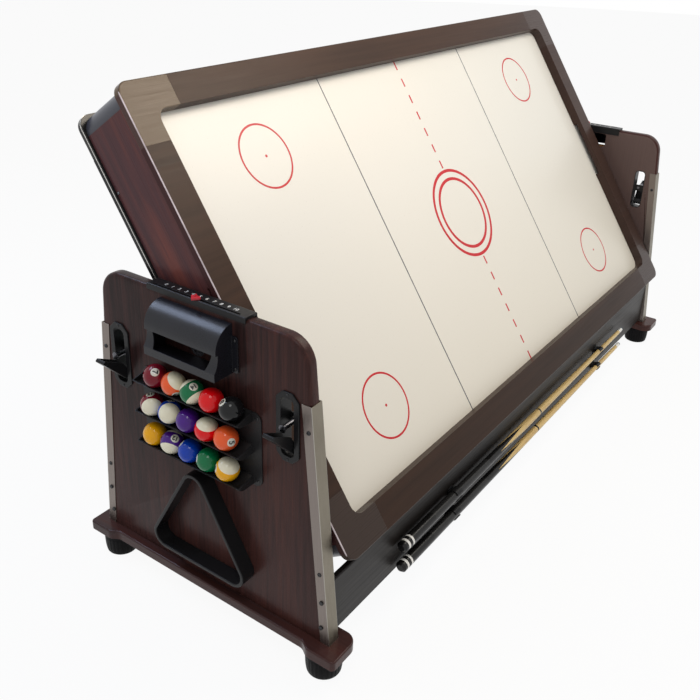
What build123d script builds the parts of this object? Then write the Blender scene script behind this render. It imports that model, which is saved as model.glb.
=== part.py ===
from build123d import *
import math
import os

# Multi game table: a two sided playing table that turns between two end panels.
# Origin: on the floor, under the middle of the table. X runs along the table,
# the ball rack is on the end at -X and the cues hang on the side at -Y.

# Overall sizes
overall_length = 2134.0
pivot_height = 693.0
table_tilt = 56.0
slip = 0.3
cut_over = 2.0

# End panels
panel_thickness = 30.0
panel_overhang = 35.0
panel_top = 795.0
panel_corner = 60.0
base_half = 385.0
base_margin = 35.0
panel_taper = 66.0
panel_foot_half = base_half - base_margin
panel_top_half = panel_foot_half - panel_taper
face_x = overall_length / 2 - panel_overhang
inner_x = face_x - panel_thickness

# Base boards and feet
base_top = 85.0
base_thickness = 24.0
base_end_length = 66.0
base_ogee_length = 34.0
base_flare = 13.0
base_inner_reach = 29.0
base_outer_corner = 10.0
base_inner_corner = 30.0
foot_radius = 42.0
foot_rim = 12.0
foot_tread_radius = 39.5
foot_from_end = 58.0
foot_stem_radius = 6.0
foot_stem_length = 16.0
foot_fit = 0.05

# Edge channels
channel_wall = 1.6
channel_flange = 24.0
channel_top = 662.0

# Stretchers between the panels
stretcher_thickness = 15.0
stretcher_inset = 15.0
stretcher_lift = 5.0
stretcher_height = 150.0
stretcher_lip = 9.0
bolt_radius = 3.0
bolt_head_radius = 5.0
bolt_head_height = 3.5
bolt_grip = 34.0
bolt_heights = (127.0, 196.0)
stretcher_face_y = panel_foot_half - stretcher_inset
stretcher_bottom = base_top + stretcher_lift
stretcher_top = stretcher_bottom + stretcher_height

# Outside of the table body
body_gap = 9.0
rail_half_width = 539.0
rail_top = 85.0
rail_half_length = inner_x - body_gap

# Latches
latch_inset = 45.0
bezel_width = 58.0
bezel_height = 160.0
bezel_thickness = 4.0
bezel_corner = 17.0
slot_width = 38.0
slot_height = 138.0
slot_corner = 14.0
liner_wall = 2.5
lock_pin_radius = 6.0
lock_pin_fit = 0.05
lock_pin_length = 50.0
lock_pin_gap = 0.5
lock_pin_rise = 5.5
guide_web = 3.0
guide_depth = 14.0
guide_height = 22.0
guide_radius = 9.0
lever_width = 27.0
lever_wall = 3.0
lever_length = 92.0
lever_root = 7.0
lever_tip = 8.0
lever_depth = 26.0
lever_knee = 38.0
lever_pivot_drop = 59.5
lever_pivot_inset = 6.0
lever_open = 45.0
hinge_pin_radius = 3.0
hinge_pin_fit = 0.05
latch_y = panel_top_half - latch_inset
lock_pin_height = pivot_height - rail_top - lock_pin_radius - lock_pin_gap
latch_mid = lock_pin_height - lock_pin_rise
lever_pivot_height = lock_pin_height - lever_pivot_drop

# Pivot
axle_radius = 15.0
axle_flange_radius = 42.0
axle_flange = 5.0
bush_wall = 5.0
bush_flange = 3.0
bush_flange_radius = 32.0
axle_fit = 0.05

# Puck return box
goal_half = 90.0
goal_bottom = 729.0
goal_height = 46.0
goal_corner = 8.0
box_half = 99.0
box_flange_half = 114.0
box_flange_bottom = 671.0
box_flange_top = 752.0
box_bottom = 669.0
box_top = 778.0
box_depth = 55.0
box_wall = 3.0
box_hood_radius = 49.0
box_waist = 6.0
box_rib = 5.0
box_rib_pitch = 24.0
box_ribs = 7
window_half = 84.0
window_taper = 11.0
window_bottom = 687.0
window_top = 724.0

# Score strip
score_half = 136.0
score_height = 6.0
score_lip = 7.0
score_inner_lip = 18.0
score_wall = 2.5
score_slot_half = 118.0
score_slot_width = 5.0
score_slot_inset = 7.0
pointer_width = 26.0
pointer_height = 9.0
pointer_depth = 14.0

# Balls and their rack
ball_radius = 26.2
ball_pitch = 53.9
ball_columns = 5
row_heights = (606.0, 530.0, 454.0)
row_shifts = (-9.9, 7.2, 6.9)
rack_half = 171.0
trough_half = 150.0
rack_wall = 3.0
rack_top = 597.0
rack_bottom = 420.0
rack_corner = 18.0
trough_corner = 15.0
rack_lip_angle = 35.0

# Triangle
triangle_wall = 8.0
triangle_depth = 38.0
triangle_bottom = 144.0
peg_radius = 5.0
peg_length = 30.0

# Cues
cue_standoff = 18.0
cue_y = stretcher_face_y + cue_standoff
cue_heights = (169.0, 109.0)
cue_back_x = -760.0
cue_butt_length = 760.0
cue_shaft_length = 713.0
cue_end_radius = 14.5
cue_joint_radius = 10.5
cue_tip_radius = 6.3
cue_bumper_length = 24.0
clip_x = 500.0
clip_width = 26.0
clip_wall = 2.5
clip_mouth = 62.0

# Table body, in its own level frame with the pivot at the origin
rail_thickness = 17.0
rail_width = 70.0
rail_corner = 29.0
rail_lip_width = 16.0
corner_piece = 138.0
field_level = 56.0
field_thickness = 12.0
field_corner = 28.0
rail_overhang = 5.0
apron_thickness = 18.0
post_radius = 42.0
goal_slot_half = 98.0
rib_thickness = 15.0
ribs_each_way = 2

# Blower
blower_radius = 85.0
blower_height = 66.0
blower_wall = 3.0
blower_spout = 60.0
impeller_radius = 62.0
impeller_height = 44.0
impeller_hub = 16.0
impeller_disc = 3.0
impeller_blades = 12
blade_thickness = 2.0
blade_reach = 24.0
blade_sweep = 18.0
motor_radius = 30.0
motor_height = 9.0

# Pool side
bed_level = 50.0
bed_thickness = 15.0
pool_rail_width = 82.0
pool_corner_piece = 95.0
pool_side_piece = 66.0
corner_pocket_radius = 52.0
side_pocket_radius = 48.0
side_pocket_inset = 77.0
pocket_wall = 3.0
pocket_depth = 56.0
cushion_depth = 35.0
cushion_nose = 33.0
cushion_nose_height = 3.5
cushion_foot = 11.0
cushion_gap = 1.5
cushion_cut_corner = 40.0
cushion_cut_side = 22.0

os.makedirs("parts", exist_ok=True)
near, far = -1, 1
front, rear = -1, 1


# Common forms
def save(name, solids):
    shape = Compound(solids) if isinstance(solids, list) else solids
    export_step(shape, os.path.join("parts", name + ".step"))


def block(x_low, x_high, y_low, y_high, z_low, z_high):
    size = Box(x_high - x_low, y_high - y_low, z_high - z_low)
    return Pos((x_low + x_high) / 2, (y_low + y_high) / 2, (z_low + z_high) / 2) * size


def slab_x(outline, x_low, x_high):
    """Extrude an outline drawn in (Y, Z) from one X to another."""
    return extrude(Plane.YZ.offset(x_low) * outline, x_high - x_low, dir=(1, 0, 0))


def slab_y(outline, y_low, y_high):
    """Extrude an outline drawn in (X, Z) from one Y to another."""
    return extrude(Plane.XZ.offset(-y_high) * outline, y_high - y_low, dir=(0, -1, 0))


def slab_z(outline, z_low, z_high):
    """Extrude an outline drawn in (X, Y) from one Z to another."""
    return extrude(Plane.XY.offset(z_low) * outline, z_high - z_low, dir=(0, 0, 1))


def rod_x(radius, x_low, x_high, y=0.0, z=0.0):
    return Pos((x_low + x_high) / 2, y, z) * Rot(0, 90, 0) * Cylinder(radius, x_high - x_low)


def rod_y(radius, y_low, y_high, x=0.0, z=0.0):
    return Pos(x, (y_low + y_high) / 2, z) * Rot(90, 0, 0) * Cylinder(radius, y_high - y_low)


def rod_z(radius, z_low, z_high, x=0.0, y=0.0):
    return Pos(x, y, (z_low + z_high) / 2) * Cylinder(radius, z_high - z_low)


def at_end(part, end):
    """A part drawn on the near end, or its mirror image on the far end."""
    return part if end == near else mirror(part, about=Plane.YZ)


def on_side(part, side):
    """A part drawn on the front side, or its mirror image on the rear side."""
    return part if side == front else mirror(part, about=Plane.XZ)


def tilted(part):
    """From the level frame of the table body to the pose it rests in."""
    return Pos(0, 0, pivot_height) * Rot(table_tilt, 0, 0) * part


# Stand: end panels, edge channels, base boards and feet
def panel_half(height):
    rise_share = (height - base_top) / (panel_top - base_top)
    return panel_foot_half + (panel_top_half - panel_foot_half) * rise_share


def slot_outline(width, height, corner, y, z):
    return Pos(y, z) * RectangleRounded(width, height, corner)


def end_panel():
    foot = panel_half(base_top) - channel_wall
    top = panel_half(panel_top) - channel_wall
    outline = Polygon((-foot, base_top), (foot, base_top), (top, panel_top), (-top, panel_top), align=None)
    outline = fillet(outline.vertices().group_by(Axis.Y)[-1], panel_corner)
    goal = Pos(0, goal_bottom + goal_height / 2) * RectangleRounded(
        2 * goal_half, goal_height, goal_corner)
    outline -= goal
    outline -= Pos(0, pivot_height) * Circle(axle_radius + bush_wall)
    for side in (front, rear):
        outline -= slot_outline(slot_width, slot_height, slot_corner, side * latch_y, latch_mid)
    panel = slab_x(outline, -face_x, -inner_x)
    for bolt in bolt_places():
        panel -= rod_x(bolt_radius, -face_x - cut_over, -inner_x + cut_over, bolt[0], bolt[1])
    return panel


def bolt_places():
    middle_y = stretcher_face_y - stretcher_thickness / 2
    return [(side * middle_y, height) for side in (front, rear) for height in bolt_heights]


def edge_channel():
    """A thin U that wraps the front edge of the near panel up to the latch."""
    foot = panel_half(base_top)
    top = panel_half(channel_top)
    outer = Polygon((-foot, base_top), (-top, channel_top), (-top + channel_flange, channel_top),
                    (-foot + channel_flange, base_top), align=None)
    core_foot = foot - channel_wall
    core_top = top - channel_wall
    core = Polygon((-core_foot, base_top), (-core_top, channel_top), (0, channel_top), (0, base_top),
                   align=None)
    channel = slab_x(outer, -face_x - channel_wall, -inner_x + channel_wall)
    channel -= slab_x(core, -face_x, -inner_x)
    for place in bolt_places():
        if place[0] < 0:
            channel -= rod_x(bolt_radius, -face_x - panel_thickness, -inner_x + panel_thickness,
                             place[0], place[1])
    return channel


def base_board():
    outer = face_x + panel_overhang
    inner = inner_x - base_inner_reach
    straight = base_half - base_end_length - base_ogee_length

    def edge(x, sign):
        """One long edge, bulging outward in a soft step towards each end."""
        waist = x - sign * base_flare
        wide_y = base_half - base_end_length
        path = Line((waist, -straight), (waist, straight))
        path += Spline((waist, straight), (x, wide_y), tangents=((0, 1), (0, 1)))
        path += Line((x, wide_y), (x, base_half))
        path += Spline((waist, -straight), (x, -wide_y), tangents=((0, -1), (0, -1)))
        path += Line((x, -wide_y), (x, -base_half))
        return path

    outline = edge(-outer, -1) + edge(-inner, 1)
    outline += Line((-outer, base_half), (-inner, base_half))
    outline += Line((-outer, -base_half), (-inner, -base_half))
    face = make_face(outline.edges())
    corners = face.vertices().group_by(Axis.Y)
    corners = (corners[0] + corners[-1]).group_by(Axis.X)
    face = fillet(corners[0], base_outer_corner)
    corners = face.vertices().group_by(Axis.Y)
    corners = (corners[0] + corners[-1]).group_by(Axis.X)
    face = fillet(corners[-1], base_inner_corner)
    board = slab_z(face, base_top - base_thickness, base_top)
    top_rim = board.faces().sort_by(Axis.Z)[-1].edges()
    board = fillet(top_rim, base_thickness / 6)
    for side in (front, rear):
        board -= rod_z(foot_stem_radius + foot_fit, base_top - base_thickness - cut_over,
                       base_top - base_thickness + foot_stem_length + slip,
                       -foot_centre_x(), side * foot_centre_y())
    return board


def foot_centre_x():
    return (face_x + panel_overhang + inner_x - base_inner_reach) / 2


def foot_centre_y():
    return base_half - foot_from_end


def levelling_foot():
    """A round foot, a little narrower at its rounded tread, and its stem."""
    height = base_top - base_thickness
    tread_round = foot_rim / 2
    profile = Line((0, 0), (foot_tread_radius - tread_round, 0))
    profile += RadiusArc((foot_tread_radius - tread_round, 0), (foot_tread_radius, tread_round), -tread_round)
    profile += Spline((foot_tread_radius, tread_round), (foot_radius, height - foot_rim),
                      tangents=((foot_rim / height, 1), (0, 1)))
    profile += Polyline((foot_radius, height - foot_rim), (foot_radius, height - foot_rim / 3),
                        (foot_radius - foot_rim / 3, height), (foot_stem_radius, height),
                        (foot_stem_radius, height + foot_stem_length), (0, height + foot_stem_length), (0, 0))
    foot = revolve(Plane.XZ * make_face(profile.edges()), Axis.Z)
    return Pos(-foot_centre_x(), -foot_centre_y(), 0) * foot


def stretcher():
    """A board with rounded edges, butted between the panels."""
    outline = Pos(-stretcher_face_y + stretcher_thickness / 2, (stretcher_bottom + stretcher_top) / 2)
    outline *= RectangleRounded(stretcher_thickness, stretcher_top - stretcher_bottom, stretcher_lip / 2)
    board = slab_x(outline, -inner_x + channel_wall, inner_x - channel_wall)
    for place in bolt_places():
        if place[0] < 0:
            for end in (near, far):
                inward = inner_x - bolt_grip
                low, high = sorted((end * inward, end * (inner_x + cut_over)))
                board -= rod_x(bolt_radius, low, high, place[0], place[1])
    return board


def stretcher_bolt(y, z):
    outer = face_x + channel_wall
    head = rod_x(bolt_head_radius, -outer - bolt_head_height, -outer, y, z)
    head = fillet(head.faces().sort_by(Axis.X)[0].edges(), bolt_head_height / 2)
    return head + rod_x(bolt_radius - slip / 2, -outer, -inner_x + bolt_grip - slip, y, z)


# Pivots in the end panels
def pivot_bush():
    bush = rod_x(axle_radius + bush_wall, -face_x, -inner_x, 0, pivot_height)
    bush += rod_x(bush_flange_radius, -inner_x, -inner_x + bush_flange, 0, pivot_height)
    return bush - rod_x(axle_radius + axle_fit, -face_x - cut_over, -inner_x + bush_flange + cut_over,
                        0, pivot_height)


def pivot_axle():
    """A stub axle on a round flange, screwed to the end of the table body."""
    apron_face = rail_half_length - rail_overhang
    flange = rod_x(axle_flange_radius, -apron_face - axle_flange, -apron_face)
    flange = chamfer(flange.faces().sort_by(Axis.X)[0].edges(), axle_flange / 4)
    return flange + rod_x(axle_radius, -face_x + channel_wall, -apron_face)


# Latches: bezel, lever, lock pin and hinge pin
def bezel_outline():
    half_width, half_height = bezel_width / 2, bezel_height / 2
    outline = Rectangle(bezel_width, bezel_height)
    outline = chamfer(outline.vertices(), bezel_corner)
    outline = fillet(outline.vertices(), min(half_width, half_height) / 4)
    return outline


def latch_bezel():
    """A bezel plate, a liner through the panel, and the guide for the lock pin."""
    centre = (-latch_y, latch_mid)
    plate = slab_x(Pos(*centre) * bezel_outline(), -face_x - bezel_thickness, -face_x)
    plate = fillet(plate.faces().sort_by(Axis.X)[0].edges(), bezel_thickness / 3)
    liner = slot_outline(slot_width - slip, slot_height - slip, slot_corner - slip / 2, *centre)
    bezel = plate + slab_x(liner, -face_x, -inner_x)
    opening_width = slot_width - 2 * liner_wall
    opening = slot_outline(opening_width, slot_height - 2 * liner_wall, slot_corner - liner_wall, *centre)
    bezel -= slab_x(opening, -face_x - panel_thickness, -inner_x + cut_over)
    web_half = opening_width / 2 + slip
    bezel += block(-inner_x - guide_web, -inner_x, -latch_y - web_half, -latch_y + web_half,
                   lock_pin_height - guide_height / 2, lock_pin_height + guide_height / 2)
    bezel += rod_x(guide_radius, -inner_x - guide_depth, -inner_x, -latch_y, lock_pin_height)
    bezel -= rod_x(lock_pin_radius + lock_pin_fit, -inner_x - guide_depth - cut_over,
                   -inner_x + cut_over, -latch_y, lock_pin_height)
    return bezel - hinge_pin_line(hinge_pin_radius)


def lever_pivot_x():
    return face_x - lever_pivot_inset


def hinge_pin_line(radius):
    reach = slot_width / 2 - liner_wall / 3
    return rod_y(radius, -latch_y - reach, -latch_y + reach, -lever_pivot_x(), lever_pivot_height)


def latch_lever():
    """A hollow wedge, thin at its tip, that swings out about the pin at its root."""
    outer, knee = -lever_root, lever_depth - lever_root
    side = Polygon((outer, -lever_root), (outer, lever_length), (outer + lever_tip, lever_length),
                   (knee, lever_knee), (lever_root, -lever_root), align=None)
    root_corners = side.vertices().group_by(Axis.Y)[0]
    side = fillet(root_corners, lever_root - slip)
    tip_corners = side.vertices().group_by(Axis.Y)[-1]
    side = fillet(tip_corners, lever_wall)
    lever = slab_y(side, -lever_width / 2, lever_width / 2)
    rim = lever.faces().sort_by(Axis.X)[0].edges()
    lever = fillet(rim, lever_wall / 3)
    cheek = lever_width / 2 - lever_wall
    lever -= block(outer + lever_wall, lever_depth, -cheek, cheek, lever_root, lever_length - lever_wall)
    lever -= rod_y(hinge_pin_radius + hinge_pin_fit, -lever_width, lever_width)
    return Pos(-lever_pivot_x(), -latch_y, lever_pivot_height) * Rot(0, -lever_open, 0) * lever


def lock_pin():
    """A steel pin, drawn back level with the panel's inner face."""
    tip = -inner_x - lock_pin_fit
    pin = rod_x(lock_pin_radius, tip - lock_pin_length, tip, -latch_y, lock_pin_height)
    return chamfer(pin.faces().sort_by(Axis.X)[-1].edges(), lock_pin_radius / 4)


# Puck return box on the outside of each end panel
def hood_profile(inset):
    """The box's side view in (X, Z): a round hood over a waist that flares out to the lip."""
    front_x, hood_x = inset - box_depth, inset - box_hood_radius
    waist_x = hood_x + box_waist
    top, bottom = box_top - inset, box_bottom + inset
    round_end = box_top - box_hood_radius
    eave = window_top + inset
    outline = Polyline((0, top), (0, bottom), (front_x, bottom), (front_x, window_bottom))
    outline += Spline((front_x, window_bottom), (waist_x, eave), tangents=((1, 1), (0, 1)))
    outline += Polyline((waist_x, eave), (hood_x, eave), (hood_x, round_end))
    outline += RadiusArc((hood_x, round_end), (0, top), box_hood_radius - inset)
    return make_face(outline.edges())


def puck_box():
    shell = slab_y(hood_profile(0), -box_half, box_half)
    hollow = slab_y(hood_profile(box_wall), -box_half + box_wall, box_half - box_wall)
    cavity_back = block(-box_wall * 2, cut_over, -box_half + box_wall, box_half - box_wall,
                        box_bottom + box_wall, box_top - box_wall)
    flange = slab_x(Pos(0, (box_flange_bottom + box_flange_top) / 2) * RectangleRounded(
        2 * box_flange_half, box_flange_top - box_flange_bottom, box_wall * 2), -box_wall, 0)
    shell = shell + flange - hollow - cavity_back
    shell += [hood_rib((number - (box_ribs - 1) / 2) * box_rib_pitch) for number in range(box_ribs)]
    sill_half = window_half - window_taper
    window = Polygon((-sill_half, window_bottom), (sill_half, window_bottom),
                     (window_half, window_top), (-window_half, window_top), align=None)
    window = fillet(window.vertices().group_by(Axis.Y)[0], box_wall)
    shell -= slab_x(window, -box_depth - cut_over, -box_depth / 2)
    return Pos(-face_x, 0, 0) * shell


def hood_rib(y):
    """A shallow stiffening rib under the hood."""
    centre = box_top - box_hood_radius
    outer = box_hood_radius - box_wall / 2
    band = Pos(0, centre) * (Circle(outer) - Circle(outer - box_rib))
    band &= Pos(-outer / 2, centre + outer / 2) * Rectangle(outer, outer)
    return slab_y(band, y - box_wall / 3, y + box_wall / 3)


# Score strip and its pointer on the panel's top edge
def score_strip():
    """A cap over the panel's top edge with a long slot for the pointer."""
    outer = face_x + score_wall
    inner = inner_x - score_wall
    strip = block(-outer, -inner, -score_half, score_half, panel_top - score_lip, panel_top + score_height)
    strip = fillet(strip.edges().filter_by(Axis.Y).group_by(Axis.Z)[-1], score_wall)
    strip -= block(-face_x, -inner_x, -score_half - cut_over, score_half + cut_over,
                   panel_top - score_lip - cut_over, panel_top)
    strip += block(-inner_x, -inner, -score_half, score_half, panel_top - score_inner_lip, panel_top)
    slot = Pos(score_slot_x(), 0) * Rot(0, 0, 90) * SlotOverall(2 * score_slot_half, score_slot_width)
    return strip - slab_z(slot, panel_top + score_height / 3, panel_top + score_height + cut_over)


def score_slot_x():
    return -face_x - score_wall + score_slot_inset


def score_pointer():
    """A flat arrow head that points outward, on a stem that runs in the slot."""
    middle = score_slot_x()
    top = panel_top + score_height
    stem_half = score_slot_width / 2 - slip
    stem = block(middle - stem_half, middle + stem_half, -stem_half, stem_half,
                 panel_top + score_height / 3 + slip, top + slip)
    outline = Polygon((-pointer_width / 2, 0), (0, -pointer_depth), (pointer_width / 2, 0),
                      (pointer_width / 4, pointer_depth / 3), (-pointer_width / 4, pointer_depth / 3), align=None)
    outline = fillet(outline.vertices(), score_slot_width / 4)
    cap = slab_z(Rot(0, 0, -90) * outline, top + slip, top + pointer_height / 2)
    return stem + Pos(middle, 0, 0) * cap + rod_z(stem_half, top, top + pointer_height, middle, 0)


# Ball rack, balls, triangle and its peg
def trough_radius():
    return ball_radius + slip


def ball_x():
    return -face_x - rack_wall - rack_wall / 2 - trough_radius()


def trough_plan(reach, half, corner):
    """Seen from above: straight at the back, rounded at the two front corners."""
    plan = Rectangle(2 * reach, 2 * half)
    return fillet(plan.vertices().group_by(Axis.X)[0], corner)


def ball_rack():
    """A back plate with three moulded troughs, closed by a cheek at both ends."""
    back = Pos(0, (rack_top + rack_bottom) / 2) * RectangleRounded(
        2 * rack_half, rack_top - rack_bottom, rack_corner)
    rack = slab_x(back, -face_x - rack_wall, -face_x)
    inner, outer = trough_radius(), trough_radius() + rack_wall
    lip_drop = outer * math.tan(math.radians(rack_lip_angle))
    below_rim = Polygon((outer, rack_top - row_heights[0]), (outer, -outer), (-outer, -outer),
                        (-outer, -lip_drop), align=None)
    filled_back = Pos(outer / 2, -outer / 2) * Rectangle(outer, outer)
    shell = slab_y((Circle(outer) + filled_back) & below_rim, -trough_half, trough_half)
    shell &= slab_z(trough_plan(outer, trough_half, trough_corner), -outer, outer)
    inner_half = trough_half - rack_wall
    hollow = slab_y(Circle(inner), -inner_half, inner_half)
    hollow &= slab_z(trough_plan(inner, inner_half, trough_corner - rack_wall), -outer, outer)
    trough = shell - hollow
    for height in row_heights:
        rack += Pos(ball_x(), 0, height) * trough
    return rack


def pool_ball(column, shift, height):
    place = (column - (ball_columns - 1) / 2) * ball_pitch
    return Pos(ball_x(), shift - place, height) * Sphere(ball_radius)


def triangle_side():
    """Inner side of a triangle that holds five balls along each side."""
    return 2 * ball_radius * (ball_columns - 1 + math.sqrt(3)) + 2 * slip


def triangle_outline(grow):
    side = triangle_side() + 2 * grow * math.sqrt(3)
    height = side * math.sqrt(3) / 2
    low = -height / 3
    outline = Polygon((-side / 2, low), (side / 2, low), (0, low + height), align=None)
    return fillet(outline.vertices(), ball_radius + grow)


def triangle_centre():
    grown = triangle_side() + 2 * triangle_wall * math.sqrt(3)
    return triangle_bottom + grown * math.sqrt(3) / 6


def triangle_rack():
    ring = triangle_outline(triangle_wall) - triangle_outline(0)
    ring = Pos(0, triangle_centre()) * ring
    back = -face_x - slip
    rack = slab_x(ring, back - triangle_depth, back)
    front_rim = rack.faces().sort_by(Axis.X)[0].edges()
    return fillet(front_rim, triangle_wall / 4)


def inner_apex():
    side = triangle_side()
    sharp = triangle_centre() + side * math.sqrt(3) / 3
    return sharp - ball_radius


def triangle_peg():
    """The peg that the triangle hangs from, under its rounded apex."""
    middle = inner_apex() - slip - peg_radius
    peg = rod_x(peg_radius, -face_x - peg_length, -face_x, 0, middle)
    return fillet(peg.faces().sort_by(Axis.X)[0].edges(), peg_radius / 2)


# Cues and the clips that hold them
def cue_radius(x):
    joint = cue_back_x + cue_butt_length
    if x < joint:
        taper_share = (x - cue_back_x) / cue_butt_length
        return cue_end_radius + (cue_joint_radius - cue_end_radius) * taper_share
    taper_share = (x - joint) / cue_shaft_length
    return cue_joint_radius + (cue_tip_radius - cue_joint_radius) * taper_share


def revolved_x(points, y, z):
    """Revolve a profile of (X, radius) points about a line along X."""
    outline = make_face(Polyline(*points, points[0]).edges())
    return Pos(0, y, z) * revolve(outline, Axis.X)


def cue_butt(height):
    end = cue_back_x
    joint = end + cue_butt_length
    bumper = end + cue_bumper_length
    round_off = cue_bumper_length / 4
    points = ((end, 0), (end, cue_end_radius - round_off), (end + round_off, cue_end_radius - slip),
              (bumper, cue_end_radius - slip), (bumper, cue_radius(bumper)),
              (joint, cue_joint_radius), (joint, 0))
    return revolved_x(points, -cue_y, height)


def cue_shaft(height):
    joint = cue_back_x + cue_butt_length
    tip = joint + cue_shaft_length
    dome = cue_tip_radius / 2
    points = ((joint, 0), (joint, cue_joint_radius), (tip - dome, cue_tip_radius),
              (tip, cue_tip_radius - dome), (tip, 0))
    return revolved_x(points, -cue_y, height)


def cue_clip(x):
    """A plate on the stretcher with a sprung ring for each cue."""
    face = -stretcher_face_y
    low = cue_heights[-1] - cue_end_radius
    high = cue_heights[0] + cue_end_radius
    plate = Pos(x, (low + high) / 2) * RectangleRounded(clip_width, high - low, clip_width / 4)
    clip = slab_y(plate, face - clip_wall, face)
    foot_reach = cue_y - stretcher_face_y - clip_wall / 2
    for height in cue_heights:
        inner = cue_radius(x) + slip
        outer = inner + clip_wall
        spread = 2 * outer * math.tan(math.radians(clip_mouth / 2))
        mouth = Polygon((0, 0), (-2 * outer, spread), (-2 * outer, -spread), align=None)
        foot = Pos(foot_reach / 2, 0) * Rectangle(foot_reach, clip_width / 2)
        ring = Pos(-cue_y, height) * (Circle(outer) + foot - mouth)
        clip += slab_x(ring, x - clip_width / 2, x + clip_width / 2)
        clip -= rod_x(inner, x - clip_width, x + clip_width, -cue_y, height)
    return clip


# Table body: aprons, posts and ribs
def apron_x():
    return rail_half_length - rail_overhang


def apron_y():
    return rail_half_width - rail_overhang


def apron_half_height():
    return rail_top - rail_thickness


def end_apron():
    """The board across one end, notched where the puck drops out."""
    half_y = apron_y() - post_radius
    half_z = apron_half_height()
    board = block(-apron_x(), -apron_x() + apron_thickness, -half_y, half_y, -half_z, half_z)
    notch = block(-apron_x() - cut_over, -apron_x() + apron_thickness + cut_over,
                  -goal_slot_half, goal_slot_half, field_level, half_z + cut_over)
    return board - notch


def side_apron():
    half_x = apron_x() - post_radius
    half_z = apron_half_height()
    return block(-half_x, half_x, -apron_y(), -apron_y() + apron_thickness, -half_z, half_z)


def corner_post():
    """A quarter round moulding between two aprons, hollow at the back."""
    outer = Pos(-apron_x() + post_radius, -apron_y() + post_radius) * Circle(post_radius)
    inner_radius = post_radius - apron_thickness
    inner = Pos(-apron_x() + post_radius, -apron_y() + post_radius) * Circle(inner_radius)
    quarter = Pos(-apron_x() + post_radius / 2, -apron_y() + post_radius / 2) * Rectangle(
        post_radius, post_radius)
    half_z = apron_half_height()
    return slab_z((outer - inner) & quarter, -half_z, half_z)


def cross_rib(x):
    inside = apron_y() - apron_thickness
    return block(x - rib_thickness / 2, x + rib_thickness / 2, -inside, inside,
                 -bed_level + bed_thickness, field_level - field_thickness)


# Rails shared by both sides: a plate with a lip down its inner edge
def rail_profile(width, lip_depth):
    """Cross section with its outer top corner at the origin, in (across, up)."""
    return Polygon((0, 0), (width, 0), (width, -rail_thickness - lip_depth),
                   (width - rail_lip_width, -rail_thickness - lip_depth),
                   (width - rail_lip_width, -rail_thickness), (0, -rail_thickness), align=None)


def side_rail(x_low, x_high, width, lip_depth):
    outline = Pos(-rail_half_width, rail_top) * rail_profile(width, lip_depth)
    rail = slab_x(outline, x_low, x_high)
    outer_edge = rail.edges().filter_by(Axis.X).group_by(Axis.Y)[0].sort_by(Axis.Z)[-1]
    return fillet(outer_edge, rail_thickness / 6)


def end_rail(y_low, y_high, width, lip_depth):
    outline = Pos(-rail_half_length, rail_top) * rail_profile(width, lip_depth)
    rail = slab_y(outline, y_low, y_high)
    outer_edge = rail.edges().filter_by(Axis.Y).group_by(Axis.X)[0].sort_by(Axis.Z)[-1]
    return fillet(outer_edge, rail_thickness / 6)


# Hockey side
def hockey_lip():
    return rail_top - rail_thickness - field_level


def hockey_rails():
    long_end = rail_half_length - corner_piece
    short_end = rail_half_width - corner_piece
    lip = hockey_lip()
    long_rail = side_rail(-long_end, long_end, rail_width, lip)
    short_rail = end_rail(-short_end, short_end, rail_width, lip)
    short_rail -= block(-rail_half_length - cut_over, -rail_half_length + rail_width + cut_over,
                        -goal_slot_half, goal_slot_half, field_level - cut_over, rail_top - rail_thickness)
    return [on_side(long_rail, side) for side in (front, rear)] + [
        at_end(short_rail, end) for end in (near, far)]


def hockey_corner():
    """An L shaped corner piece with a round outer and inner corner."""
    x_low, y_low = -rail_half_length, -rail_half_width
    outline = Pos(x_low + corner_piece / 2, y_low + corner_piece / 2) * Rectangle(corner_piece, corner_piece)
    inner = corner_piece - rail_width
    outline -= Pos(x_low + rail_width + inner / 2, y_low + rail_width + inner / 2) * Rectangle(inner, inner)
    bend = outline.vertices().sort_by_distance((x_low + rail_width, y_low + rail_width))[0]
    outline = fillet(bend, field_corner)
    tip = outline.vertices().sort_by_distance((x_low, y_low))[0]
    outline = fillet(tip, rail_corner)
    piece = slab_z(outline, rail_top - rail_thickness, rail_top)
    outer_rim = [edge for edge in piece.faces().sort_by(Axis.Z)[-1].edges()
                 if edge.center().X < x_low + rail_corner / 2 or edge.center().Y < y_low + rail_corner / 2]
    piece = fillet(outer_rim, rail_thickness / 6)
    lip_outline = outline & (Pos(x_low + rail_width - rail_lip_width + corner_piece / 2,
                                 y_low + rail_width - rail_lip_width + corner_piece / 2)
                             * Rectangle(corner_piece, corner_piece))
    return piece + slab_z(lip_outline, field_level, rail_top - rail_thickness)


def hockey_field():
    inside_x = apron_x() - apron_thickness
    inside_y = apron_y() - apron_thickness
    board = Rectangle(2 * inside_x, 2 * inside_y)
    board = chamfer(board.vertices(), post_radius)
    return slab_z(board, field_level - field_thickness, field_level)


# Blower under the hockey field
def blower_housing():
    top = field_level - field_thickness
    bottom = top - blower_height
    shell = rod_z(blower_radius, bottom, top)
    spout = block(0, blower_radius + blower_spout, blower_radius / 4, blower_radius, bottom, top)
    shell += spout
    inner = rod_z(blower_radius - blower_wall, bottom + blower_wall, top - blower_wall)
    inner += block(0, blower_radius + blower_spout + cut_over, blower_radius / 4 + blower_wall,
                   blower_radius - blower_wall, bottom + blower_wall, top - blower_wall)
    shell -= inner
    shell += rod_z(motor_radius, bottom + blower_wall, bottom + blower_wall + motor_height)
    intake = rod_z(impeller_radius * 2 / 3, top - blower_wall - cut_over, top + cut_over)
    return shell - intake


def impeller_base():
    return field_level - field_thickness - blower_height + blower_wall + motor_height


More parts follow.
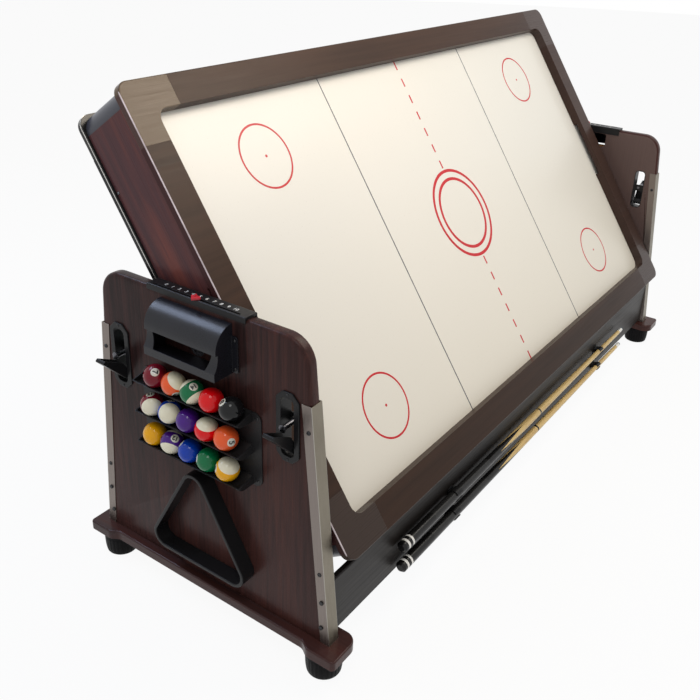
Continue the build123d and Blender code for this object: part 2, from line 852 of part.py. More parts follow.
def blower_impeller():
    """A disc with a hub and a ring of upright curved blades."""
    bottom = impeller_base() + slip
    wheel = rod_z(impeller_radius, bottom, bottom + impeller_disc)
    wheel += rod_z(impeller_hub, bottom, bottom + impeller_height / 2)
    inner = impeller_radius - blade_reach
    sweep = math.radians(blade_sweep)
    outer_end = (impeller_radius * math.cos(sweep), impeller_radius * math.sin(sweep))
    blade = trace(RadiusArc((inner, 0), outer_end, inner), blade_thickness)
    blade = slab_z(blade, bottom + impeller_disc / 2, bottom + impeller_height)
    for number in range(impeller_blades):
        wheel += Rot(0, 0, number * 360 / impeller_blades) * blade
    return wheel & rod_z(impeller_radius, bottom, bottom + impeller_height)


# Pool side, drawn facing up and turned over
def turned_over(part):
    return Rot(180, 0, 0) * part


def corner_pocket_centre():
    return (rail_half_length - pool_corner_piece, rail_half_width - pool_corner_piece)


def side_pocket_centre():
    return (0.0, rail_half_width - side_pocket_inset)


def pocket_centres():
    corner = corner_pocket_centre()
    side = side_pocket_centre()
    places = [(sx * corner[0], sy * corner[1], corner_pocket_radius) for sx in (-1, 1) for sy in (-1, 1)]
    return places + [(side[0], sy * side[1], side_pocket_radius) for sy in (-1, 1)]


def pool_bed_half():
    """Half of the bed, its outer corners cut off through the middle of the pockets."""
    inside_x = apron_x() - apron_thickness
    inside_y = apron_y() - apron_thickness
    corner_x, corner_y = corner_pocket_centre()
    board = Pos(-inside_x / 2, 0) * Rectangle(inside_x, 2 * inside_y)
    corner_cut = inside_x - corner_x + inside_y - corner_y
    board = chamfer(board.vertices().group_by(Axis.X)[0], corner_cut)
    for x, y, radius in pocket_centres():
        board -= Pos(x, y) * Circle(radius + pocket_wall + slip)
    return slab_z(board, bed_level - bed_thickness, bed_level)


def pool_lip():
    return rail_top - rail_thickness - bed_level


def pool_rails():
    corner_x, corner_y = corner_pocket_centre()
    long_rail = side_rail(-corner_x, -pool_side_piece, pool_rail_width, pool_lip())
    short_rail = end_rail(-corner_y, corner_y, pool_rail_width, pool_lip())
    for x, y, radius in pocket_centres():
        hole = rod_z(radius + pocket_wall + slip, bed_level - cut_over, rail_top + cut_over, x, y)
        long_rail -= hole
        short_rail -= hole
    longs = [at_end(on_side(long_rail, side), end) for side in (front, rear) for end in (near, far)]
    return longs + [at_end(short_rail, end) for end in (near, far)]


def cushion(length, cut_low, cut_high):
    """A cushion along X, its back at Y 0 and its nose towards +Y, with raked ends."""
    top = rail_top - cushion_gap
    nose_top = bed_level + cushion_nose
    section = Polygon((0, top), (cushion_depth - cushion_foot / 2, nose_top),
                      (cushion_depth, nose_top - cushion_nose_height),
                      (cushion_depth - cushion_nose_height, nose_top - 2 * cushion_nose_height),
                      (cushion_foot, bed_level + cushion_gap), (0, bed_level + cushion_gap), align=None)
    bar = slab_x(section, 0, length)
    plan = Polygon((0, 0), (length, 0), (length - cut_high, cushion_depth), (cut_low, cushion_depth),
                   align=None)
    return bar & slab_z(plan, bed_level, rail_top)


def pool_cushions():
    corner_x, corner_y = corner_pocket_centre()
    back_y = -rail_half_width + pool_rail_width
    back_x = -rail_half_length + pool_rail_width
    long_start = -corner_x + corner_pocket_radius * 2 / 3
    long_end = -pool_side_piece + pocket_wall
    long_bar = cushion(long_end - long_start, cushion_cut_corner, cushion_cut_side)
    long_bar = Pos(long_start, back_y, 0) * long_bar
    short_half = corner_y - corner_pocket_radius * 2 / 3
    short_bar = Rot(0, 0, -90) * cushion(2 * short_half, cushion_cut_corner, cushion_cut_corner)
    short_bar = Pos(back_x, short_half, 0) * short_bar
    for x, y, radius in pocket_centres():
        hole = rod_z(radius + pocket_wall + slip, bed_level - cut_over, rail_top + cut_over, x, y)
        long_bar -= hole
        short_bar -= hole
    longs = [at_end(on_side(long_bar, side), end) for side in (front, rear) for end in (near, far)]
    return longs + [at_end(short_bar, end) for end in (near, far)]


def playing_area():
    inside_x = rail_half_length - pool_rail_width
    inside_y = rail_half_width - pool_rail_width
    return block(-inside_x, inside_x, -inside_y, inside_y, bed_level, rail_top + cut_over)


def pocket_cup(x, y, radius):
    """A moulded liner that hangs through the bed, closed at the bottom, open to play."""
    outer = rod_z(radius + pocket_wall, bed_level - pocket_depth, rail_top - rail_thickness, x, y)
    outer -= playing_area()
    return outer, rod_z(radius, bed_level - pocket_depth + pocket_wall, rail_top + cut_over, x, y)


def corner_pocket():
    x, y = (-value for value in corner_pocket_centre())
    plate = Pos((x - rail_half_length) / 2, (y - rail_half_width) / 2) * Rectangle(
        pool_corner_piece, pool_corner_piece)
    tip = plate.vertices().sort_by_distance((-rail_half_length, -rail_half_width))[0]
    plate = fillet(tip, rail_corner)
    body = slab_z(plate, rail_top - rail_thickness, rail_top)
    rim = [edge for edge in body.faces().sort_by(Axis.Z)[-1].edges()
           if edge.center().X < -rail_half_length + rail_corner / 2
           or edge.center().Y < -rail_half_width + rail_corner / 2]
    body = fillet(rim, rail_thickness / 4)
    outer, inner = pocket_cup(x, y, corner_pocket_radius)
    skirt = slab_z(Pos(x, y) * (Circle(corner_pocket_radius + pocket_wall)), rail_top - rail_thickness,
                   rail_top - cushion_gap) & slab_z(plate, bed_level, rail_top)
    return body + outer + skirt - inner


def side_pocket():
    x, y = side_pocket_centre()[0], -side_pocket_centre()[1]
    plate = Pos(x, -rail_half_width + pool_rail_width / 2) * Rectangle(2 * pool_side_piece, pool_rail_width)
    body = slab_z(plate, rail_top - rail_thickness, rail_top)
    edge = body.edges().filter_by(Axis.X).group_by(Axis.Y)[0].sort_by(Axis.Z)[-1]
    body = fillet(edge, rail_thickness / 4)
    outer, inner = pocket_cup(x, y, side_pocket_radius)
    return body + outer - inner


# Build and write every piece
ends = (("near", near), ("far", far))
sides = (("front", front), ("rear", rear))

panel = end_panel()
board = base_board()
foot = levelling_foot()
channel = edge_channel()
bezel = latch_bezel()
lever = latch_lever()
pin = lock_pin()
hinge_pins = []
bolts = []
for end_name, end in ends:
    save(end_name + "_end_panel", at_end(panel, end))
    save(end_name + "_base_board", at_end(board, end))
    save(end_name + "_puck_box", at_end(puck_box(), end))
    save(end_name + "_score_strip", at_end(score_strip(), end))
    save(end_name + "_score_pointer", at_end(score_pointer(), end))
    for side_name, side in sides:
        place = end_name + "_" + side_name
        save(place + "_foot", at_end(on_side(foot, side), end))
        save(place + "_edge_channel", at_end(on_side(channel, side), end))
        save(place + "_latch_bezel", at_end(on_side(bezel, side), end))
        save(place + "_latch_lever", at_end(on_side(lever, side), end))
        save(place + "_lock_pin", at_end(on_side(pin, side), end))
        hinge_pins.append(at_end(on_side(hinge_pin_line(hinge_pin_radius), side), end))
    bolts += [at_end(stretcher_bolt(y, z), end) for y, z in bolt_places()]

save("latch_hinge_pins", hinge_pins)
save("stretcher_bolts", bolts)
for side_name, side in sides:
    save(side_name + "_stretcher", on_side(stretcher(), side))
save("pivot_bushes", [at_end(pivot_bush(), end) for end in (near, far)])

save("ball_rack", ball_rack())
save("pool_balls", [pool_ball(column, shift, height) for shift, height in zip(row_shifts, row_heights)
                    for column in range(ball_columns)])
save("triangle_rack", triangle_rack())
save("triangle_peg", triangle_peg())
for name, height in zip(("upper", "lower"), cue_heights):
    save(name + "_cue_butt", cue_butt(height))
    save(name + "_cue_shaft", cue_shaft(height))
save("cue_clips", [cue_clip(x) for x in (-clip_x, clip_x)])

save("pivot_axles", [tilted(at_end(pivot_axle(), end)) for end in (near, far)])
for end_name, end in ends:
    save(end_name + "_end_apron", tilted(at_end(end_apron(), end)))
for name, side in (("lower", front), ("upper", rear)):
    save(name + "_side_apron", tilted(on_side(side_apron(), side)))
save("corner_posts", [tilted(at_end(on_side(corner_post(), side), end))
                      for end in (near, far) for side in (front, rear)])
rib_pitch = rail_half_length / (ribs_each_way + 1)
save("cross_ribs", [tilted(cross_rib(sign * number * rib_pitch)) for sign in (near, far)
                    for number in range(1, ribs_each_way + 1)])
save("hockey_rails", [tilted(rail) for rail in hockey_rails()])
save("hockey_corners", [tilted(at_end(on_side(hockey_corner(), side), end))
                        for end in (near, far) for side in (front, rear)])
save("hockey_field", tilted(hockey_field()))
save("blower_housing", tilted(blower_housing()))
save("blower_impeller", tilted(blower_impeller()))
save("pool_bed", [tilted(turned_over(at_end(pool_bed_half(), end))) for end in (near, far)])
save("pool_rails", [tilted(turned_over(rail)) for rail in pool_rails()])
save("pool_cushions", [tilted(turned_over(bar)) for bar in pool_cushions()])
pockets = [at_end(on_side(corner_pocket(), side), end) for end in (near, far) for side in (front, rear)]
pockets += [on_side(side_pocket(), side) for side in (front, rear)]
save("pool_pockets", [tilted(turned_over(pocket)) for pocket in pockets])
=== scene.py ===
import math

import bmesh
import bpy
from mathutils import Matrix, Vector


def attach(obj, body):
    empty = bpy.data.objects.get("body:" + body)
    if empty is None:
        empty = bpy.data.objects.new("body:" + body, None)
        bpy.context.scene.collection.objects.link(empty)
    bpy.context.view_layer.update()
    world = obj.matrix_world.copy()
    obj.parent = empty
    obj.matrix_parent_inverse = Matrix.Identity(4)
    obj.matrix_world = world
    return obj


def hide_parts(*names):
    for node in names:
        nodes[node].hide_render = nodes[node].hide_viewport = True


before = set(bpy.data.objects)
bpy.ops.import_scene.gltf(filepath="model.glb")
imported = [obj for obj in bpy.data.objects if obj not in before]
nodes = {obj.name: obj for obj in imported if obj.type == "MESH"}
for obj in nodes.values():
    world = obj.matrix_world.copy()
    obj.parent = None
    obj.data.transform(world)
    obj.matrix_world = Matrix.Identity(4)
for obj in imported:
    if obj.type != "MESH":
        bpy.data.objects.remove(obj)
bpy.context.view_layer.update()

# Sizes taken over from the solids, in metres
PIVOT = 0.693
TILT = math.radians(56)
FACE_X = 1.032
PANEL_THICK, PANEL_TOP = 0.030, 0.795
PANEL_MIDDLE = FACE_X - PANEL_THICK / 2
PANEL_FOOT_HALF, PANEL_TAPER = 0.350, 0.066
BASE_TOP = 0.085
PANEL_SLOPE = PANEL_TAPER / (PANEL_TOP - BASE_TOP)
CHANNEL_WALL, CHANNEL_FLANGE = 0.0016, 0.024
FIELD_W = 0.056
FIELD_HALF = 0.469
RAIL_X, RAIL_V, RAIL_W = 0.993, 0.539, 0.085
BALL_R = 0.0262
BALL_X = -1.063
BALL_PITCH = 0.0539
ROWS = ((0.606, -0.0099), (0.530, 0.0072), (0.454, 0.0069))
CUE_Y = -0.353
CUE_Z = {"upper": 0.169, "lower": 0.109}
LATCH_Y = 0.239
TABLE = Matrix.Translation((0, 0, PIVOT)) @ Matrix.Rotation(TILT, 4, "X")
ROW = Matrix.Identity(4)
SIGNS = (-1, 1)


def panel_half(z):
    """Half the width of an end panel at a height."""
    return PANEL_FOOT_HALF - PANEL_SLOPE * (z - BASE_TOP)


def lin(r, g, b):
    """An sRGB colour, 0 to 255, as linear light."""
    return tuple(c / 12.92 / 255 if c <= 10 else ((c / 255 + 0.055) / 1.055) ** 2.4 for c in (r, g, b))


# Shader building
class Shader:
    """A Principled material, built up node by node."""

    def __init__(self, name, rough=0.4, metal=0.0, coat=0.0, coat_rough=0.08, level=0.5, sheen=0.0):
        self.mat = bpy.data.materials.new(name)
        self.mat.use_nodes = True
        self.tree = self.mat.node_tree
        self.bsdf = self.tree.nodes["Principled BSDF"]
        for key, value in (("Roughness", rough), ("Metallic", metal), ("Coat Weight", coat),
                           ("Coat Roughness", coat_rough), ("Specular IOR Level", level),
                           ("Sheen Weight", sheen)):
            self.bsdf.inputs[key].default_value = value
        self.normal = None

    def node(self, kind, inputs=None, **settings):
        made = self.tree.nodes.new("ShaderNode" + kind)
        for key, value in settings.items():
            setattr(made, key, value)
        for key, value in (inputs or {}).items():
            self.put(made.inputs[key], value)
        return made

    def put(self, socket, value):
        if isinstance(value, bpy.types.NodeSocket):
            self.tree.links.new(value, socket)
        elif hasattr(value, "__len__") and socket.type == "RGBA" and len(value) == 3:
            socket.default_value = (*value, 1.0)
        else:
            socket.default_value = value

    def sum(self, op, a, b=0.0, c=0.0):
        return self.node("Math", {0: a, 1: b, 2: c}, operation=op).outputs[0]

    def place(self, tilted=False, scale=(1, 1, 1), shift=(0, 0, 0)):
        """The point on the object, in the table's own level frame if tilted, scaled for grain."""
        point = self.node("TexCoord").outputs["Object"]
        if tilted:
            turn = self.node("VectorRotate", {"Vector": point, "Center": (0, 0, PIVOT), "Angle": -TILT},
                             rotation_type="X_AXIS")
            point = turn.outputs[0]
        return self.node("Mapping", {"Vector": point, "Scale": scale, "Location": shift}).outputs[0]

    def split(self, point):
        return self.node("SeparateXYZ", {0: point}).outputs

    def noise(self, point, scale=1.0, detail=4.0, rough=0.55, twist=0.0):
        return self.node("TexNoise", {"Vector": point, "Scale": scale, "Detail": detail, "Roughness": rough,
                                      "Distortion": twist}).outputs["Fac"]

    def ramp(self, fac, *stops):
        made = self.node("ValToRGB", {"Fac": fac})
        bar = made.color_ramp.elements
        while len(bar) < len(stops):
            bar.new(0.5)
        for stop, (at, colour) in zip(bar, stops):
            stop.position = at
            stop.color = (*colour, 1) if hasattr(colour, "__len__") else (colour, colour, colour, 1)
        return made.outputs["Color"]

    def spread(self, fac, low, high, a=0.0, b=1.0):
        return self.node("MapRange", {"Value": fac, "From Min": a, "From Max": b, "To Min": low,
                                      "To Max": high}).outputs[0]

    def mix(self, fac, a, b):
        made = self.node("Mix", data_type="RGBA")
        self.put(made.inputs[0], fac)
        self.put(made.inputs[6], a)
        self.put(made.inputs[7], b)
        return made.outputs[2]

    def colour(self, value):
        self.put(self.bsdf.inputs["Base Color"], value)

    def rough(self, value):
        self.put(self.bsdf.inputs["Roughness"], value)

    def soften(self, radius):
        self.normal = self.node("Bevel", {"Radius": radius}, samples=4).outputs[0]
        self.put(self.bsdf.inputs["Normal"], self.normal)

    def bump(self, height, distance, strength=1.0):
        made = self.node("Bump", {"Height": height, "Distance": distance, "Strength": strength})
        if self.normal is not None:
            self.put(made.inputs["Normal"], self.normal)
        self.normal = made.outputs[0]
        self.put(self.bsdf.inputs["Normal"], self.normal)


GRAIN = {"X": (0.05, 1, 1), "Y": (1, 0.05, 1), "Z": (1, 1, 0.05)}


def wood(name, along, tilted=False, dark=(0.009, 0.005, 0.005), mid=(0.026, 0.0115, 0.0105),
         red=(0.075, 0.022, 0.015), rough=0.3, coat=0.06, level=0.16, shift=(0, 0, 0), extra=None, pore=0.3,
         fine=46.0, width=0.14):
    """A printed wood foil: broad streaks, cathedral figure, fine pores, a satin lacquer."""
    s = Shader(name, coat=coat, coat_rough=0.12, level=level)
    stretch = GRAIN[along]
    point = s.place(tilted, stretch, shift)
    broad = s.noise(point, 11.0, 5.0, 0.6, 0.6)
    streak = s.noise(point, fine, 6.0, 0.62, 0.3)
    pore_stretch = tuple(9 * k if k == 1 else 2.4 * k for k in stretch)
    pores = s.noise(s.place(tilted, pore_stretch, shift), 42.0, 3.0, 0.7)
    patch = s.noise(s.place(tilted, tuple(0.3 + 0.7 * k for k in stretch), shift), 3.2, 2.0, 0.5)
    tone = s.sum("MULTIPLY_ADD", streak, 0.55, s.sum("MULTIPLY", broad, 0.45))
    body = s.ramp(tone, (0.5 - width, dark), (0.5, mid), (0.5 + 1.6 * width, red))
    warm = s.mix(s.ramp(patch, (0.42, 0.0), (0.62, 1.0)), body, s.mix(0.55, body, red))
    body = s.mix(s.ramp(pores, (0.40, pore), (0.52, 0.0)), warm, dark)
    if extra:
        body = extra(s, body)
    s.colour(body)
    s.rough(s.spread(pores, rough + 0.08, rough - 0.05, 0.35, 0.65))
    s.soften(0.0012)
    s.bump(s.sum("MULTIPLY_ADD", pores, 0.6, s.sum("MULTIPLY", streak, 0.4)), 0.00012, 0.5)
    return s.mat


def bare_sill(s, body):
    """Inner faces lightened as painted light, and the unfinished cut through the panel where the puck drops
    out.
    """
    sill_half, sill_height, near_sill = 0.0899, 0.729, 0.0012
    x, y, z = s.split(s.place())
    inside = s.sum("LESS_THAN", s.sum("ABSOLUTE", y), sill_half)
    level = s.sum("LESS_THAN", s.sum("ABSOLUTE", s.sum("SUBTRACT", z, sill_height)), near_sill)
    across = s.sum("ABSOLUTE", x)
    from_middle = s.sum("ABSOLUTE", s.sum("SUBTRACT", across, PANEL_MIDDLE))
    core = s.sum("LESS_THAN", from_middle, PANEL_THICK / 2 - 0.0003)
    # Painted light: the inner faces get a lighter colour, as if lit
    back = s.mix(0.75, body, (0.150, 0.104, 0.093))
    body = s.mix(s.sum("LESS_THAN", across, FACE_X - PANEL_THICK + 0.0006), body, back)
    return s.mix(s.sum("MULTIPLY", s.sum("MULTIPLY", inside, level), core), body, (0.38, 0.17, 0.05))


def apron_flame(s, body):
    """The broad reddish figure in the upper half of the end aprons."""
    _, y, z = s.split(s.place(True))
    along = s.sum("DIVIDE", s.sum("SUBTRACT", y, 0.190), 0.135)
    across = s.sum("DIVIDE", s.sum("SUBTRACT", z, PIVOT - 0.004), 0.036)
    away = s.sum("SQRT", s.sum("ADD", s.sum("POWER", s.sum("ABSOLUTE", along), 2.0),
                               s.sum("POWER", s.sum("ABSOLUTE", across), 2.0)))
    veins = s.spread(s.noise(s.place(True, (1, 0.12, 1)), 60.0, 3.0, 0.6), 0.45, 1.0, 0.4, 0.62)
    return s.mix(s.sum("MULTIPLY", s.spread(away, 0.65, 0.0, 0.25, 1.0), veins), body, (0.25, 0.070, 0.050))


def rail_arris(s, body):
    """The rails' tints (redder sides, greyer far end), painted shade on the low front, and a painted
    highlight line on the end rails' outer top arris.
    """
    x, y, z = s.split(s.place(True))
    # Masks for the painted highlight line along the end rails' outer top arris, broken up by noise
    out = s.spread(s.sum("ABSOLUTE", x), 0.0, 1.0, RAIL_X - 0.0022, RAIL_X - 0.0014)
    high = s.spread(z, 0.0, 1.0, PIVOT + RAIL_W - 0.0030, PIVOT + RAIL_W - 0.0022)
    wear_and_highlight_breaks = s.spread(s.noise(s.place(True), 22.0, 3.0), 0.65, 1.0, 0.35, 0.6)
    side = s.sum("MAXIMUM", s.sum("GREATER_THAN", s.sum("ABSOLUTE", x), RAIL_X - 0.0004),
                 s.sum("GREATER_THAN", s.sum("ABSOLUTE", y), RAIL_V - 0.0004))
    body = s.mix(s.sum("MULTIPLY", side, 0.7), body, (0.060, 0.018, 0.022))
    # Painted shade: darker towards the low front
    body = s.mix(s.spread(y, 0.30, 0.0, -0.50, -0.20), body, (0.008, 0.006, 0.005))
    body = s.mix(s.spread(x, 0.0, 0.6, 0.60, 0.95), body, (0.058, 0.037, 0.034))
    return s.mix(s.sum("MULTIPLY", s.sum("MULTIPLY", out, high), wear_and_highlight_breaks), body, (0.92, 0.80, 0.82))


def corner_foil(s, body):
    """The corner pieces, a smooth foil: painted glare, a paler tan, on the near upper one; the rail's own
    tone on the rest.
    """
    x, y, _ = s.split(s.place(True))
    # Painted glare: the near upper piece keeps the material's paler tan
    pale =s.sum("MULTIPLY", s.sum("LESS_THAN", x, -0.5), s.sum("GREATER_THAN", y, 0.0))
    return rail_arris(s, s.mix(pale, s.mix(0.75, body, (0.034, 0.0180, 0.0160)), body))


def plastic(name, base, rough, coat=0.0, tilted=False, level=0.2):
    """Moulded plastic with a fine spark-eroded texture and a little handling wear."""
    s = Shader(name, coat=coat, level=level)
    point = s.place(tilted)
    fine = s.noise(point, 900.0, 2.0, 0.6)
    cloud = s.noise(point, 6.0, 4.0, 0.6)
    wear_and_highlight_breaks = tuple(min(1.0, c * 1.6 + 0.002) for c in base)
    s.colour(s.mix(s.spread(cloud, 0.0, 0.35, 0.35, 0.7), base, wear_and_highlight_breaks))
    s.rough(s.sum("ADD", s.spread(fine, rough - 0.05, rough + 0.05, 0.3, 0.7),
                  s.spread(cloud, -0.05, 0.05, 0.3, 0.7)))
    s.soften(0.001)
    s.bump(fine, 0.00002, 0.6)
    return s.mat


def foot_plastic():
    """Moulded foot, black and matt: fine upright ribs round the side, with painted shade in the grooves
    between them.
    """
    # The ribs' axis lies 3.5 mm inside the foot's own, which is at x 1.0200
    rib_x, rib_y, ribs = 1.0165, 0.327, 28.0
    s = Shader("foot_plastic", level=0.05)
    x, y, z = s.split(s.place())
    off_x = s.sum("SUBTRACT", s.sum("ABSOLUTE", x), rib_x)
    off_y = s.sum("SUBTRACT", s.sum("ABSOLUTE", y), rib_y)
    turn = s.sum("ARCTAN2", off_x, off_y)
    rib = s.sum("SINE", s.sum("MULTIPLY", turn, ribs))
    side = s.sum("MULTIPLY", s.spread(z, 0.0, 1.0, 0.005, 0.009), s.spread(z, 1.0, 0.0, 0.046, 0.050))
    cloud = s.noise(s.place(), 40.0, 4.0, 0.6)
    tone = s.mix(s.spread(cloud, 0.0, 1.0, 0.3, 0.7), (0.006, 0.0058, 0.006), (0.0115, 0.0108, 0.0112))
    # Painted shade: the grooves between the ribs are darkened
    s.colour(s.mix(s.sum("MULTIPLY", s.spread(rib, 0.35, 0.0, -1.0, 0.2), side), tone, (0.003, 0.003, 0.003)))
    s.rough(s.spread(cloud, 0.40, 0.52, 0.3, 0.7))
    s.soften(0.0012)
    s.bump(s.sum("MULTIPLY", s.spread(rib, 0.0, 1.0, -1.0, 0.4), side), 0.0009, 0.7)
    return s.mat


def channel_metal():
    """Brushed aluminium with painted shading, one tone on the web and a redder one on the flanges, and
    painted highlights on the bright outer corners.
    """
    s = Shader("brushed_channel", metal=1.0)
    x, y, z = s.split(s.place())
    lines = s.noise(s.place(scale=GRAIN["Z"]), 240.0, 4.0, 0.7)
    cloud = s.noise(s.place(), 9.0, 3.0, 0.5)
    from_middle = s.sum("ABSOLUTE", s.sum("SUBTRACT", s.sum("ABSOLUTE", x), PANEL_MIDDLE))
    flange = s.sum("GREATER_THAN", from_middle, 0.0160)
    # Painted shading: the web and the flanges, one sheet of metal, get their own tones for how light falls on
    # each face
    tone = s.mix(s.spread(cloud, 0.0, 1.0, 0.3, 0.7), (0.225, 0.200, 0.158), (0.190, 0.168, 0.130))
    tone = s.mix(flange, tone, (0.212, 0.182, 0.165))
    # Painted highlight along the flanges' outer corners
    edge = s.sum("SUBTRACT", s.sum("ABSOLUTE", y), s.sum("MULTIPLY_ADD", z, -PANEL_SLOPE, panel_half(0)))
    corner = s.sum("MULTIPLY", flange, s.sum("GREATER_THAN", edge, -0.0012))
    s.colour(s.mix(corner, tone, (0.36, 0.345, 0.31)))
    s.rough(s.spread(lines, 0.30, 0.50, 0.3, 0.7))
    s.soften(0.0006)
    s.bump(lines, 0.00004, 0.5)
    return s.mat


def metal(name, base, rough, along=None, tilted=False):
    """Brushed or turned metal: fine scratches, long ones where an axis is given."""
    s = Shader(name, metal=1.0)
    point = s.place(tilted, GRAIN[along] if along else (1, 1, 1))
    lines = s.noise(point, 240.0, 4.0, 0.7)
    cloud = s.noise(s.place(tilted), 9.0, 3.0, 0.5)
    s.colour(s.mix(s.spread(cloud, 0.0, 0.6, 0.3, 0.7), base, tuple(c * 0.82 for c in base)))
    s.rough(s.spread(lines, rough - 0.08, rough + 0.1, 0.3, 0.7))
    s.soften(0.0006)
    s.bump(lines, 0.00004, 0.5)
    return s.mat


def paint(name, base):
    """Screen print: even ink with a slight tooth."""
    s = Shader(name, level=0.4)
    fine = s.noise(s.place(), 700.0, 2.0)
    s.colour(s.mix(s.spread(fine, 0.0, 0.18, 0.3, 0.7), base, tuple(c * 0.75 for c in base)))
    s.rough(s.spread(fine, 0.31, 0.41, 0.3, 0.7))
    return s.mat


def cloth(name, base):
    """Woven worsted cloth, lightly napped."""
    s = Shader(name, rough=0.9, level=0.2, sheen=0.35)
    point = s.place(True)
    x, y, z = s.split(point)
    warp = s.sum("SINE", s.sum("MULTIPLY", x, 5200.0))
    weft = s.sum("SINE", s.sum("MULTIPLY", s.sum("ADD", y, z), 5200.0))
    weave = s.sum("MULTIPLY", warp, weft)
    nap = s.noise(point, 1400.0, 3.0, 0.7)
    cloud = s.noise(point, 5.0, 4.0, 0.6)
    tone = s.mix(s.spread(nap, 0.0, 0.55, 0.3, 0.7), base, tuple(c * 0.55 for c in base))
    s.colour(s.mix(s.spread(cloud, 0.0, 0.3, 0.3, 0.7), tone, tuple(min(1, c * 1.3) for c in base)))
    s.bump(s.sum("MULTIPLY_ADD", nap, 0.8, s.sum("MULTIPLY", weave, 0.2)), 0.0002, 0.5)
    return s.mat


def field_board():
    """White laminate over board: faint clouding, painted shade warmer and darker towards the lower edge, a
    grid of air holes as dots of painted shade, brown cut edges.
    """
    s = Shader("field_laminate", coat=0.15, coat_rough=0.2, level=0.4)
    point = s.place(True)
    x, y, z = s.split(point)
    cloud = s.noise(point, 2.2, 3.0, 0.5)
    tone = s.mix(cloud, (0.835, 0.815, 0.765), (0.875, 0.850, 0.795))
    # Painted shade: warmer and darker towards the field's lower edge
    tone = s.mix(s.spread(y, 0.5, 0.0, -0.50, 0.15), tone, (0.80, 0.725, 0.585))
    # Air holes drawn as dots of painted shade, with a matching dip in the bump
    pitch = 0.0254
    across = [s.sum("SUBTRACT", s.sum("FRACT", s.sum("DIVIDE", axis, pitch)), 0.5) for axis in (x, y)]
    away = s.sum("SQRT", s.sum("ADD", s.sum("POWER", across[0], 2.0), s.sum("POWER", across[1], 2.0)))
    hole = s.sum("LESS_THAN", away, 0.00032 / pitch)
    inside = s.sum("LESS_THAN", s.sum("ABSOLUTE", x), 0.915)
    inside = s.sum("MULTIPLY", inside, s.sum("LESS_THAN", s.sum("ABSOLUTE", y), 0.462))
    hole = s.sum("MULTIPLY", hole, inside)
    cut = s.sum("LESS_THAN", z, PIVOT + FIELD_W - 0.0008)
    tone = s.mix(hole, tone, (0.40, 0.37, 0.32))
    s.colour(s.mix(cut, tone, (0.34, 0.24, 0.15)))
    fine = s.noise(point, 160.0, 3.0, 0.6)
    s.rough(s.spread(fine, 0.30, 0.42, 0.3, 0.7))
    s.bump(s.sum("SUBTRACT", s.sum("MULTIPLY", fine, 0.25), hole), 0.00012, 0.35)
    return s.mat


def cue_wood(name, height, part):
    """The cue's turned colours, set out along its length: cap, rings, wrap, points, joint, ferrule, tip."""
    s = Shader(name, coat=0.12, coat_rough=0.08, level=0.22)
    point = s.place()
    x, y, z = s.split(point)
    turn = s.sum("ARCTAN2", s.sum("SUBTRACT", y, CUE_Y), s.sum("SUBTRACT", z, height))
    saw = s.sum("FRACT", s.sum("MULTIPLY_ADD", turn, 4 / (2 * math.pi), 2.12))
    saw = s.sum("MULTIPLY", s.sum("ABSOLUTE", s.sum("SUBTRACT", saw, 0.5)), 2.0)
    maple = s.ramp(s.noise(s.place(scale=(0.06, 1, 1)), 150.0, 5.0, 0.6, 0.2),
                   (0.3, (0.60, 0.40, 0.155)), (0.7, (0.84, 0.62, 0.27)))
    black = (0.006, 0.0055, 0.0055)
    white = (0.98, 0.97, 0.93)

    def band(low, high):
        return s.sum("MULTIPLY", s.sum("GREATER_THAN", x, low), s.sum("LESS_THAN", x, high))

    if part == "butt":
        edge = s.sum("MULTIPLY_ADD", saw, 0.156, -0.266)
        tone = s.mix(s.sum("GREATER_THAN", x, edge), black, maple)
        wrap = s.noise(s.place(scale=(1, 0.2, 0.2)), 900.0, 2.0)
        tone = s.mix(band(-0.62, -0.33), tone, s.mix(wrap, (0.008, 0.008, 0.009), (0.03, 0.029, 0.028)))
        for low, high, colour in ((-0.746, -0.7385, white), (-0.728, -0.7215, white), (-0.004, 0.001, black)):
            tone = s.mix(band(low, high), tone, colour)
    else:
        tone = maple
        for low, high, colour in ((-0.001, 0.0035, black), (0.680, 0.7055, white),
                                  (0.7055, 0.72, (0.035, 0.085, 0.13))):
            tone = s.mix(band(low, high), tone, colour)
    s.colour(tone)
    s.rough(s.spread(s.noise(point, 60.0), 0.22, 0.36, 0.3, 0.7))
    s.bump(s.noise(s.place(scale=(0.06, 1, 1)), 400.0, 2.0), 0.00003, 0.4)
    return s.mat


def ball_shader(name, ink, striped, centre, turn):
    """A cast resin ball: number spot, optional band, polish with faint handling marks."""
    s = Shader(name, coat=0.08, coat_rough=0.02, level=0.22)
    own = s.node("VectorRotate", {"Vector": s.place(), "Center": centre, "Rotation": turn.to_euler()},
                 rotation_type="EULER_XYZ", invert=True).outputs[0]
    _, y, z = s.split(s.node("Mapping", {"Vector": own, "Scale": (1 / BALL_R,) * 3,
                                         "Location": tuple(-c / BALL_R for c in centre)}).outputs[0])
    ivory = (0.93, 0.87, 0.66)
    tone = ink
    if striped:
        tone = s.mix(s.sum("LESS_THAN", s.sum("ABSOLUTE", y), 0.52), ivory, ink)
    tone = s.mix(s.sum("GREATER_THAN", s.sum("ABSOLUTE", z), 0.938), tone, (0.84, 0.82, 0.70))
    s.colour(tone)
    s.rough(s.spread(s.noise(s.place(), 90.0, 3.0, 0.6), 0.05, 0.10, 0.3, 0.7))
    return s.mat


